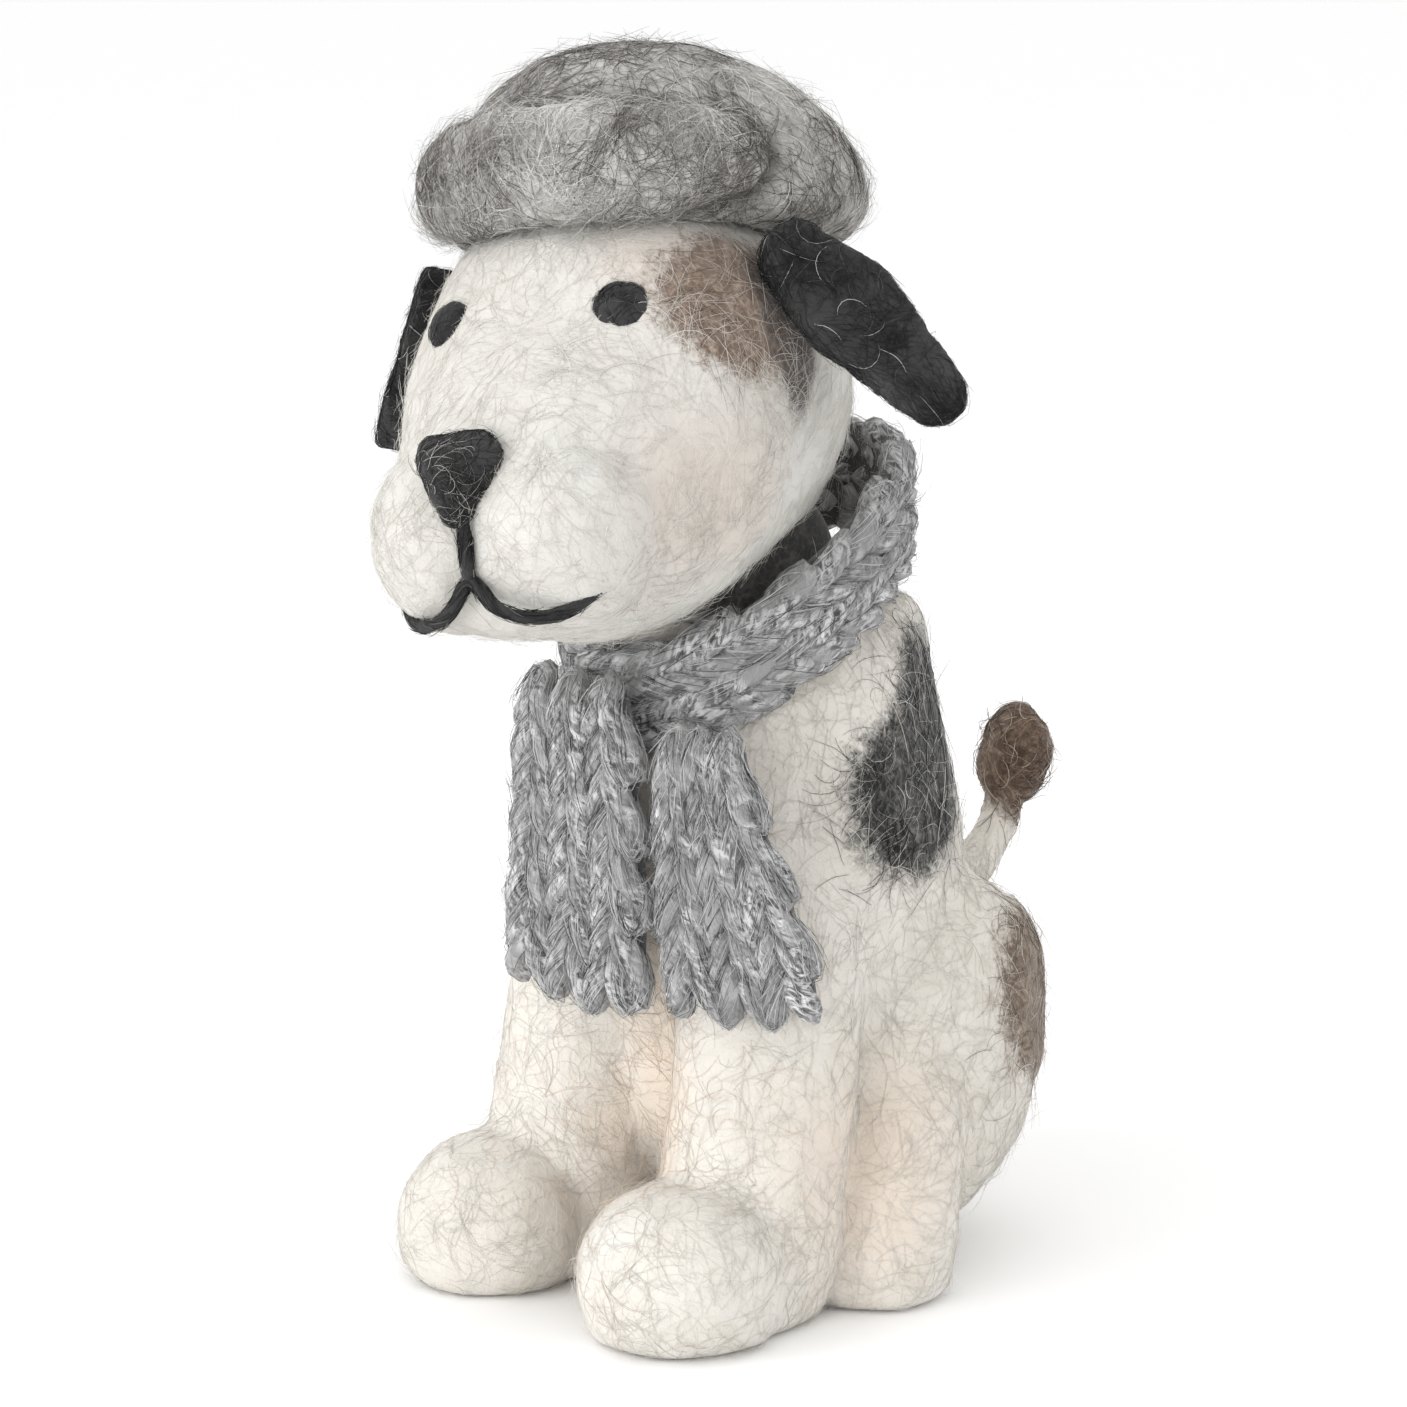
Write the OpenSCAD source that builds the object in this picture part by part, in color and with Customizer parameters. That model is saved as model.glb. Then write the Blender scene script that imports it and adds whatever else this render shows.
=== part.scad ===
// Needle-felted seated dog with a felt flat cap and a short knitted scarf.
// The dog faces -Y, its left side is +X and it sits on the plane z = 0.

/* [Pose] */
// How far the head is turned towards the dog's left, in degrees
head_yaw = 13; // [0:1:18]
// How far the head leans towards the dog's right, in degrees
head_roll = 9; // [0:1:12]

/* [Head] */
// Height of the neck pivot above the ground
pivot_z = 83; // [82:0.5:84.5]
// Radius of the felted neck ball that the head sits on
neck_r = 12; // [10:0.5:12.5]
// Radius of each muzzle pad
pad_r = 10.5; // [9:0.5:12]
// Sideways distance from the middle of the face to each eye
eye_x = 11; // [9:0.5:13]
// Radius of each felted eye
eye_r = 3.2; // [2.5:0.1:4]
// Thickness of the ear felt
ear_t = 4; // [3:0.25:6]
// Angle at which the ears stand off the head, in degrees
ear_splay = 34; // [24:1:45]

/* [Cap] */
// Radius of the cap crown at its widest, from side to side
cap_rx = 24; // [22:0.5:26]
// Height of the cap crown above its rim
cap_h = 22.5; // [18:0.5:26]
// Thickness of the peak felt
peak_t = 7.5; // [5:0.5:10]

/* [Body] */
// Width of the torso at the hips
hip_w = 44; // [38:1:50]
// Radius of each front leg
leg_r = 10.5; // [8:0.5:11]
// Sideways distance from the middle to each front leg
leg_x = 14.5; // [12:0.5:17]
// Diameter of the armature wire
wire_d = 1.6; // [1:0.1:2.5]

/* [Tail] */
// Radius of the tail stem
tail_r = 2.4; // [1.6:0.1:3.2]
// Radius of the brown bulb at the tail's end
tip_r = 4.6; // [3.5:0.1:6]

/* [Scarf] */
// Width of the knitted band
band_w = 13; // [10:0.5:16]
// Thickness of the knitted band
band_t = 5.2; // [4:0.2:7]
// Width of each hanging end
end_w = 17; // [14:0.5:19]

/* [Fit] */
// Clearance between pieces that move on each other
gap = 0.3; // [0.2:0.05:0.5]

/* [Hidden] */
ox = 0.62;      // moves the middle of the bounding box onto the origin
oy = -9.25;
NP = [0, 8, pivot_z];        // neck pivot
face_dx = -1.5;              // the face sits a little towards the dog's right
ear_p = [21.8, -16.6, 38]; // middle of each ear's sewn edge, in the head's frame
loop_r = [17.9, 18.9];       // radii of the scarf loop, sideways and front to back

// ---- colours ----
cream = [0.90, 0.88, 0.84];
black = [0.12, 0.12, 0.12];
brown = [0.47, 0.39, 0.33];
grey = [0.60, 0.59, 0.57];
knit = [0.62, 0.62, 0.62];
steel = [0.7, 0.7, 0.72];

// ---- smooth lofts through hand-set sections ----
function cr(a, b, c, d, t) = 0.5 * ((2 * b) + (c - a) * t + (2 * a - 5 * b + 4 * c - d) * t * t
                                   + (3 * b - a - 3 * c + d) * t * t * t);
function rows(S, k) = let(n = len(S))
    [for (i = [0 : n - 2]) for (j = [0 : k - 1])
        cr(S[max(i - 1, 0)], S[i], S[i + 1], S[min(i + 2, n - 1)], j / k), S[n - 1]];
// each section is [height, x, y, x radius, y radius]
module loft(S, k = 3, n = 28, grow = 0) {
    R = rows(S, k);
    m = len(R);
    pts = [for (r = R) for (i = [0 : n - 1])
        [r[1] + max(r[3] + grow, 0.3) * cos(360 * i / n), r[2] + max(r[4] + grow, 0.3) * sin(360 * i / n),
         r[0] + (r == R[0] ? -max(grow, 0) : r == R[m - 1] ? max(grow, 0) : 0)]];
    side = [for (j = [0 : m - 2]) for (i = [0 : n - 1]) for (f = [0, 1])
        f == 0 ? [j * n + i, (j + 1) * n + i, (j + 1) * n + (i + 1) % n]
               : [j * n + i, (j + 1) * n + (i + 1) % n, j * n + (i + 1) % n]];
    polyhedron(points = pts, faces = concat(side,
        [[for (i = [0 : n - 1]) i]], [[for (i = [n - 1 : -1 : 0]) (m - 1) * n + i]]), convexity = 6);
}
// a round tube along a list of points; ref is a direction that the points never follow
function unit(v) = v / norm(v);
module tube(P, r, n = 8, ref = [0, 1, 0]) {
    m = len(P);
    pts = [for (j = [0 : m - 1])
        let(t = unit(P[min(j + 1, m - 1)] - P[max(j - 1, 0)]),
            a = unit(cross(t, ref)), b = cross(t, a))
        for (i = [0 : n - 1]) P[j] + r[j] * (a * cos(360 * i / n) + b * sin(360 * i / n))];
    side = [for (j = [0 : m - 2]) for (i = [0 : n - 1]) for (f = [0, 1])
        f == 0 ? [j * n + i, (j + 1) * n + (i + 1) % n, j * n + (i + 1) % n]
               : [j * n + i, (j + 1) * n + i, (j + 1) * n + (i + 1) % n]];
    polyhedron(points = pts, faces = concat(side,
        [[for (i = [0 : n - 1]) i]], [[for (i = [n - 1 : -1 : 0]) (m - 1) * n + i]]), convexity = 6);
}
// an egg with its three radii
module egg(r, f = 24) { resize([2 * r[0], 2 * r[1], 2 * r[2]]) sphere(r = 10, $fn = f); }
// evaluates its children as one felted skin
module skin() { resize([0, 0, 0]) children(); }
module place() { translate([ox, oy, 0]) children(); }
// the head's own frame: -Y forwards, +Z up, origin at the neck pivot
module in_head() { place() translate(NP) rotate([0, 0, head_yaw]) rotate([0, -head_roll, 0]) children(); }

// ---- body ----
hw = hip_w / 2;
TORSO = [[0, 0, 22, hw - 9, 11], [2.5, 0, 22, hw - 5.5, 15], [8, 0, 21.5, hw - 2.5, 20], [18, 0, 20, hw - 0.5, 25],
         [30, 0, 18.5, hw, 26], [42, 0, 16, hw - 0.5, 25], [54, 0, 13.8, hw - 1.5, 24.4],
         [64, 0, 12.9, hw - 3, 23.4], [72, 0, 13.2, hw - 4.8, 21.9], [76.5, 0, 13.8, hw - 6.4, 20.4],
         [78.6, 0, 13.8, hw - 8.2, 18]];
module torso_shape(grow = 0) { loft(TORSO, 2, 30, grow); }
module torso() color(cream) place() difference() {
    torso_shape();
    translate(NP) sphere(r = neck_r + gap, $fn = 48);
    translate(TAIL[0]) sphere(r = tail_r + 0.8 + gap, $fn = 32);
}
module front_leg(s) color(cream) place() loft([
    [0, s * leg_x, -7, leg_r - 2, leg_r - 2], [2, s * leg_x, -7, leg_r - 0.5, leg_r - 0.4], [8, s * leg_x, -6, leg_r + 0.3, leg_r],
    [18, s * (leg_x - 0.3), -3.5, leg_r + 0.2, leg_r], [30, s * (leg_x - 0.8), -1.5, leg_r, leg_r + 0.3],
    [42, s * (leg_x - 2), 1, leg_r - 0.5, leg_r + 1], [50, s * (leg_x - 4), 3, leg_r - 2.5, leg_r],
    [55, s * (leg_x - 5), 5, leg_r - 6, leg_r - 4]], 2, 24);
module front_leg_left() front_leg(1);
module front_leg_right() front_leg(-1);
// round paws with a flat underside
module paw(x, y, r) place() translate([x, y, 0]) loft([
    [0, 0, 0, r[0] * 0.74, r[1] * 0.74], [1.2, 0, 0, r[0] * 0.88, r[1] * 0.88],
    [r[2] * 0.45, 0, 0, r[0] * 0.98, r[1] * 0.98], [r[2] * 0.95, 0, 0, r[0], r[1]], [r[2] * 1.4, 0, 0, r[0] * 0.88, r[1] * 0.88],
    [r[2] * 1.75, 0, 0, r[0] * 0.63, r[1] * 0.63], [r[2] * 1.97, 0, 0, r[0] * 0.22, r[1] * 0.22]], 2, 24);
module front_paw_left() color(cream) paw(14.4, -16.2, [12, 12.2, 8.8]);
module front_paw_right() color(cream) paw(-16, -16, [11.2, 11.6, 8.6]);
module thigh(s) color(cream) place() translate([s * 15.4, 24.4, 25.2]) rotate([-14, 0, 0]) egg([10.6, 18.6, 21.6]);
module thigh_left() thigh(1);
module thigh_right() thigh(-1);
module hind_leg(s) color(cream) place() loft([
    [0, s * 21.8, 9.5, 6.2, 7.2], [1.5, s * 21.8, 9.5, 7.7, 8.8], [6, s * 21.8, 10, 8.3, 9.2], [12, s * 21.4, 11.5, 7.8, 8.8],
    [18, s * 20.4, 14, 7.6, 9], [25, s * 19, 17.5, 7, 9], [31, s * 17.5, 19.5, 4, 6]], 2, 22);
module hind_paw_left() hind_leg(1);
module hind_paw_right() hind_leg(-1);
module back_patch() color(black) place() skin() difference() {
    intersection() {
        torso_shape(0.5);
        translate([21, 17, 63]) rotate([20, 0, 0]) egg([13, 14.5, 15.5]);
    }
    torso_shape(-1.6);
}
module hip_patch() color(brown) place() skin() difference() {
    intersection() {
        translate([15.4, 24.4, 25.2]) rotate([-14, 0, 0]) egg([11.1, 19.1, 22.1]);
        translate([25, 40, 32]) egg([14, 9.5, 12]);
    }
    translate([15.4, 24.4, 25.2]) rotate([-14, 0, 0]) egg([9, 17, 20]);
    torso_shape(-1.6);
}

// ---- armature ----
module spine_wire() color(steel) place() translate([0, 12, 8]) cylinder(d = wire_d, h = 58, $fn = 24);
module leg_wire(s) color(steel) place() translate([s * leg_x, -7, 4]) rotate([-10, s * -4, 0]) cylinder(d = wire_d, h = 40, $fn = 24);
module leg_wire_left() leg_wire(1);
module leg_wire_right() leg_wire(-1);
module neck_ball() color(cream) place() translate(NP) sphere(r = neck_r, $fn = 48);

// ---- head: sections run forwards from the back of the skull ----
HEAD = [[-11, 0, 20, 5, 6], [-8.5, 0, 20.5, 12.5, 13], [-2, 0, 22, 18.8, 20], [7, 0, 22.9, 21.8, 23.1],
        [16, 0, 22.1, 22.8, 24.7], [24, 0, 20.5, 22.5, 24.3], [30, 0, 18.2, 20.9, 21.8], [35.5, 0, 15.5, 18.2, 18],
        [41.5, 0, 12.7, 15.4, 14.6], [46.5, 0, 11.2, 12.4, 11.6], [49.5, 0, 10.5, 8.8, 8.4], [51.2, 0, 10.5, 4.2, 4.2]];
module head_shape(grow = 0) translate([face_dx, 0, 0]) rotate([90, 0, 0]) loft(HEAD, 2, 30, grow);
module in_face() { in_head() translate([face_dx, 0, 0]) children(); }
module head() color(cream) in_head() difference() {
    head_shape();
    sphere(r = neck_r + gap, $fn = 48);
}
module muzzle_pad(s) color(cream) in_face() translate([s * 6.6, -42.5, 10.2]) egg([pad_r - 0.6, pad_r, pad_r], 22);
module muzzle_pad_left() muzzle_pad(1);
module muzzle_pad_right() muzzle_pad(-1);
module nose() color(black) in_face() translate([-0.6, -51.2, 17.2]) rotate([-14, 0, 0]) hull() {
    for (s = [-1, 1]) translate([s * 2.7, 0.8, 2.4]) sphere(r = 2.5, $fn = 20);
    translate([0, 0.2, -3.6]) sphere(r = 1.8, $fn = 20);
    translate([0, -0.6, 1.2]) sphere(r = 2.6, $fn = 20);
}
// yarn line: from under the nose down between the pads, then out and up to both corners
LIP = [[0, -51.8, 12.6], [0, -52.1, 9.4], [0, -52.1, 6.2]];
SMILE = [[0, -52, 6.2], [2.8, -52.2, 3.4], [6, -51.4, 1.9], [9.6, -49.2, 2], [13.2, -45.4, 4.4]];
module muzzle_line() color(black) in_face() {
    P = rows(LIP, 4);
    tube(P, [for (p = P) 0.85], 8);
}
module mouth_line() color(black) in_face() {
    m = len(SMILE);
    P = rows([for (k = [1 - m : m - 1]) let(q = SMILE[abs(k)]) [sign(k) * q[0], q[1], q[2]]], 3);
    tube(P, [for (p = P) 0.9], 8);
}
module eye(s) color(black) in_face() translate([s * eye_x, -32.4, 32.4]) rotate([-30, 0, s * 22]) egg([eye_r, 1.9, eye_r * 0.95], 20);
module eye_left() eye(1);
module eye_right() eye(-1);
module brow_patch() color(brown) in_head() skin() difference() {
    intersection() {
        head_shape(0.1);
        translate([17.5, -22.8, 29.4]) rotate([-15, 0, 0]) egg([12, 8.8, 9.2]);
    }
    head_shape(-1.5);
}
// flat felt ear that hangs below its sewn root edge; k is its length against the left one
module ear_shape(k) hull() {
    translate([0, 0, -4]) rotate([90, 0, 90]) translate([0, 0, -ear_t / 2]) cylinder(r = 4, h = ear_t, $fn = 24);
    translate([0, 0.6, -12 * k]) rotate([90, 0, 90]) translate([0, 0, -ear_t * 0.55]) cylinder(r = 5.8, h = ear_t * 1.1, $fn = 24);
    translate([0, 1.4, -25.4 * k]) rotate([90, 0, 90]) translate([0, 0, -ear_t * 0.45]) cylinder(r = 3.3, h = ear_t * 0.9, $fn = 24);
}
module ear(s, k) color(black) in_face() translate([s * ear_p[0], ear_p[1], ear_p[2]])
    rotate([11, 0, 0]) rotate([0, s * -ear_splay, 0]) rotate([0, 0, s * -28]) ear_shape(k);
module ear_left() ear(1, 1);
module ear_right() ear(-1, 0.82);

// ---- cap: sections of the crown, measured up from the rim ----
CROWN = [[0, 0, 0, cap_rx - 3, cap_rx - 1.5], [2.2, 0, 0, cap_rx - 0.8, cap_rx + 1], [cap_h * 0.28, 0, -0.2, cap_rx, cap_rx + 1.8],
         [cap_h * 0.52, 0, -1.2, cap_rx - 1.6, cap_rx - 0.6], [cap_h * 0.76, 0, -3, cap_rx - 6.4, cap_rx - 6.4], [cap_h * 0.93, 0, -4.5, cap_rx - 13, cap_rx - 13],
         [cap_h, 0, -5, cap_rx - 19.5, cap_rx - 19.5]];
module on_cap() in_face() translate([1, -5.8, 37.6]) rotate([-8.5, 0, 0]) children();
// the room that the head takes up in the cap, open downwards so that the cap lifts straight off
module head_room() in_head() skin() union() {
    head_shape(gap + 0.25);
    hull() { head_slice(); translate([0, 0, -30]) head_slice(); }
}
module head_slice() translate([face_dx, -11.5, 30]) linear_extrude(0.5) resize([47.2, 42.5]) circle(r = 10, $fn = 40);
module cap_crown() color(grey) skin() difference() {
    on_cap() loft(CROWN, 2, 30);
    head_room();
    on_cap() translate([0, 0, -1]) linear_extrude(4) resize([2 * cap_rx - 10, 2 * cap_rx - 7]) circle(r = 10, $fn = 40);
}
// inner rim that grips the head
module cap_band() color(grey) skin() difference() {
    on_cap() translate([0, 0, -1.2]) linear_extrude(4.2) resize([2 * cap_rx - 10.2, 2 * cap_rx - 7.2]) circle(r = 10, $fn = 40);
    head_room();
}
// thick peak: a felt pad bent round the front of the crown
module cap_peak() color(grey) on_cap() {
    A = [for (k = [12 : -1 : -12]) k * 5.2];
    P = [for (a = A) [(cap_rx - 0.4) * sin(a), -(cap_rx + 1) * cos(a), 6.6 + 0.6 * cos(a)]];
    band(P, [for (a = A) [sin(a), -cos(a), 0]], [for (a = A) [0, 0, 1]],
         [for (a = A) peak_t / 2 * taper(a / 62.4)], [for (a = A) 6.7 * taper(a / 62.4)], 16);
}
function taper(t) = 0.12 + 0.88 * sqrt(max(0, 1 - pow(abs(t), 3.2)));
// a band with half sizes ru and rv along the section axes U and V at every point of P
module band(P, U, V, ru, rv, n = 12, closed = false, e = 1) {
    m = len(P);
    function se(c) = sign(c) * pow(abs(c), e);
    pts = [for (j = [0 : m - 1]) for (i = [0 : n - 1])
        P[j] + U[j] * ru[j] * se(cos(360 * i / n)) + V[j] * rv[j] * se(sin(360 * i / n))];
    last = closed ? m - 1 : m - 2;
    side = [for (j = [0 : last]) for (i = [0 : n - 1]) for (f = [0, 1])
        let(k = (j + 1) % m)
        f == 0 ? [j * n + i, k * n + (i + 1) % n, j * n + (i + 1) % n]
               : [j * n + i, k * n + i, k * n + (i + 1) % n]];
    polyhedron(points = pts, faces = closed ? side : concat(side,
        [[for (i = [0 : n - 1]) i]], [[for (i = [n - 1 : -1 : 0]) (m - 1) * n + i]]), convexity = 8);
}

// ---- scarf ----
module scarf_loop() color(knit) place() {
    A = [for (k = [0 : 35]) k * 10];
    P = [for (a = A) [loop_r[0] * cos(a), 8.5 + loop_r[1] * sin(a),
                      81.1 + 10.9 * sin(a) + 1.8 * cos(a) + 0.9 * pow(cos(a), 2)]];
    band([for (k = [0 : 35]) P[35 - k]], [for (k = [0 : 35]) [cos(A[35 - k]), sin(A[35 - k]), 0]], [for (a = A) [0, 0, 1]],
         [for (a = A) band_t / 2], [for (k = [0 : 35]) band_w / 2 * (1 + 0.1 * pow(cos(A[35 - k]), 2) - 0.04 * sin(A[35 - k]) * -1)], 12, true, 0.7);
}
// a hanging end; the rows give x, y, z, turn about the vertical and half width
module scarf_end(R) color(knit) place() {
    Q = rows(R, 3);
    m = len(Q);
    band([for (q = Q) [q[0], q[1], q[2]]], [for (q = Q) [cos(q[3]), sin(q[3]), 0]], [for (q = Q) [sin(q[3]), -cos(q[3]), 0]],
         [for (q = Q) q[4]], [for (q = Q) band_t / 2], 14, false, 0.6);
}
ew = end_w / 2;
END_L = [[15.2, -14, 67.5, 12, ew - 2.7], [16.6, -14.2, 60, 15, ew - 1.7], [18.8, -14.3, 52, 20, ew - 0.3], [20.8, -14, 44, 24, ew + 0.5], [22, -13.6, 38, 25, ew + 0.3]];
END_R = [[-2, -16.3, 72, -2, ew], [-1.9, -16.2, 62.5, -3, ew + 1.3], [-1.7, -16.2, 52, -4, ew + 2.4], [-1.9, -16.4, 43, -4, ew + 2.8], [-2.2, -16.4, 36.5, -4, ew + 2.4]];
module scarf_end_left() scarf_end(END_L);
module scarf_end_right() scarf_end(END_R);

// ---- tail: grows out of a round root in the rump and curls up ----
TAIL = [[0, 44.4, 37.6], [0, 48, 38.6], [0, 52.6, 40.6], [0, 56.4, 44], [0, 58.6, 48.4]];
module tail_stem() color(cream) place() skin() union() {
    translate(TAIL[0]) sphere(r = tail_r + 0.8, $fn = 24);
    P = rows(TAIL, 4);
    tube(P, [for (k = [0 : len(P) - 1]) tail_r + 0.8 - 1.1 * k / len(P)], 12, [1, 0, 0]);
}
module tail_tip() color(brown) place() translate([0, 60, 53]) rotate([-8, 0, 0]) egg([tip_r, tip_r, tip_r * 1.38], 22);
module tail_wire() color(steel) place() {
    P = rows(TAIL, 4);
    tube(P, [for (p = P) wire_d / 2], 8, [1, 0, 0]);
}

torso();
front_leg_left();
front_leg_right();
front_paw_left();
front_paw_right();
thigh_left();
thigh_right();
hind_paw_left();
hind_paw_right();
back_patch();
hip_patch();
spine_wire();
leg_wire_left();
leg_wire_right();
neck_ball();
head();
muzzle_pad_left();
muzzle_pad_right();
nose();
muzzle_line();
mouth_line();
eye_left();
eye_right();
brow_patch();
ear_left();
ear_right();
cap_crown();
cap_band();
cap_peak();
scarf_loop();
scarf_end_left();
scarf_end_right();
tail_stem();
tail_tip();
tail_wire();
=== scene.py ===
# Needle-felted seated dog with a flat cap and a knitted scarf: the looks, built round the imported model.
import math
import bpy
import numpy as np
from mathutils import Vector, Matrix, noise
from mathutils.bvhtree import BVHTree


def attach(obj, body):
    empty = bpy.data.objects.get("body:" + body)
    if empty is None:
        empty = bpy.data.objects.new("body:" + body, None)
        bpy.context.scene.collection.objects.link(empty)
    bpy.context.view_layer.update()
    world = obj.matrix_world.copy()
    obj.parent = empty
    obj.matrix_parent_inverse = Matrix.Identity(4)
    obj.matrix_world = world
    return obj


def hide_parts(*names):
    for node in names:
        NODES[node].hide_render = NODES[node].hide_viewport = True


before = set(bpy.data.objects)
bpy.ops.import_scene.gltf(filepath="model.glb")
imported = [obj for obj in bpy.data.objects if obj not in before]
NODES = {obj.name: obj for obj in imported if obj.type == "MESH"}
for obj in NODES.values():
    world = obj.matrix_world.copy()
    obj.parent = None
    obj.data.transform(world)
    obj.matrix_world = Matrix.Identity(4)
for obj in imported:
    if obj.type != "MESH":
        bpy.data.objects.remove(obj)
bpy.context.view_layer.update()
scene = bpy.context.scene
scene.view_settings.view_transform = "Standard"
MM = 0.001
OX, OY = 0.62, -9.25          # the shift of the part's own frame, in millimetres
NECK = np.array([OX, 8 + OY, 83.0]) * MM
YAW, ROLL, FACE_DX = math.radians(13), math.radians(-9), -1.5


def rz(a):
    return np.array([[math.cos(a), -math.sin(a), 0], [math.sin(a), math.cos(a), 0], [0, 0, 1]])


def ry(a):
    return np.array([[math.cos(a), 0, math.sin(a)], [0, 1, 0], [-math.sin(a), 0, math.cos(a)]])


def rx(a):
    return np.array([[1, 0, 0], [0, math.cos(a), -math.sin(a)], [0, math.sin(a), math.cos(a)]])


HEAD_R = rz(YAW) @ ry(ROLL)


def face(p):
    """A point in the face's own frame, in millimetres, to the row frame in metres."""
    return NECK + HEAD_R @ ((np.array(p, float) + np.array([FACE_DX, 0, 0])) * MM)


def row(p):
    """A point of the part's own body frame, in millimetres, to the row frame in metres."""
    return (np.array(p, float) + np.array([OX, OY, 0])) * MM


# ------------------------------------------------------------------ camera, light, floor
def aim(obj, target):
    obj.rotation_euler = (Vector(target) - obj.location).to_track_quat("-Z", "Y").to_euler()


az = math.radians(43)
target = row([2.5, 0, 68.6])
cam_data = bpy.data.cameras.new("camera")
cam = bpy.data.objects.new("camera", cam_data)
scene.collection.objects.link(cam)
cam.location = Vector((target[0] + 0.480 * math.sin(az), target[1] - 0.480 * math.cos(az), 0.165))
aim(cam, target)
dist = (cam.location - Vector(target)).length
cam_data.sensor_width = 36
cam_data.lens = dist / 0.0001145 * 36 / 1407
cam_data.clip_start = 0.01
scene.camera = cam

world = bpy.data.worlds.new("studio")
scene.world = world
world.use_nodes = True
world.node_tree.nodes["Background"].inputs[0].default_value = (1.0, 1.0, 1.0, 1)
world.node_tree.nodes["Background"].inputs[1].default_value = 1.0


def area(name, loc, size, power, to=(0, 0, 0.07), color=(1, 1, 1)):
    d = bpy.data.lights.new(name, "AREA")
    d.shape = "DISK"
    d.size = size
    d.energy = power
    d.color = color
    o = bpy.data.objects.new(name, d)
    scene.collection.objects.link(o)
    o.location = loc
    aim(o, to)
    return o


area("key", (-0.25, -0.80, 0.55), 0.55, 2.2)
area("low", (0.10, -0.80, 0.14), 0.45, 1.9, (0, 0, 0.04))
area("top", (0.15, 0.05, 0.95), 0.7, 0.7)

bm_floor = bpy.data.meshes.new("floor")
s = 6.0
bm_floor.from_pydata([(-s, -s, 0), (s, -s, 0), (s, s, 0), (-s, s, 0)], [], [(0, 1, 2, 3)])
floor = bpy.data.objects.new("floor", bm_floor)
scene.collection.objects.link(floor)
fm = bpy.data.materials.new("floor_white")
fm.use_nodes = True
fb = fm.node_tree.nodes["Principled BSDF"]
fb.inputs["Base Color"].default_value = (0.99, 0.99, 0.99, 1)
fb.inputs["Roughness"].default_value = 0.9
fb.inputs["Specular IOR Level"].default_value = 0.1
floor.data.materials.append(fm)
floor.location.z = -0.00005


# ------------------------------------------------------------------ materials
def srgb(r, g, b, a=1.0):
    def f(c):
        c /= 255.0
        return c / 12.92 if c <= 0.04045 else ((c + 0.055) / 1.055) ** 2.4
    return (f(r), f(g), f(b), a)


def plain(name, color, rough=0.85, sheen=0.15):
    """For loose fibres: each fibre is real geometry, so its shade needs no pattern."""
    m = bpy.data.materials.new(name)
    m.use_nodes = True
    b = m.node_tree.nodes["Principled BSDF"]
    b.inputs["Base Color"].default_value = color
    b.inputs["Roughness"].default_value = rough
    b.inputs["Specular IOR Level"].default_value = 0.2
    b.inputs["Sheen Weight"].default_value = sheen
    return m


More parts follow.
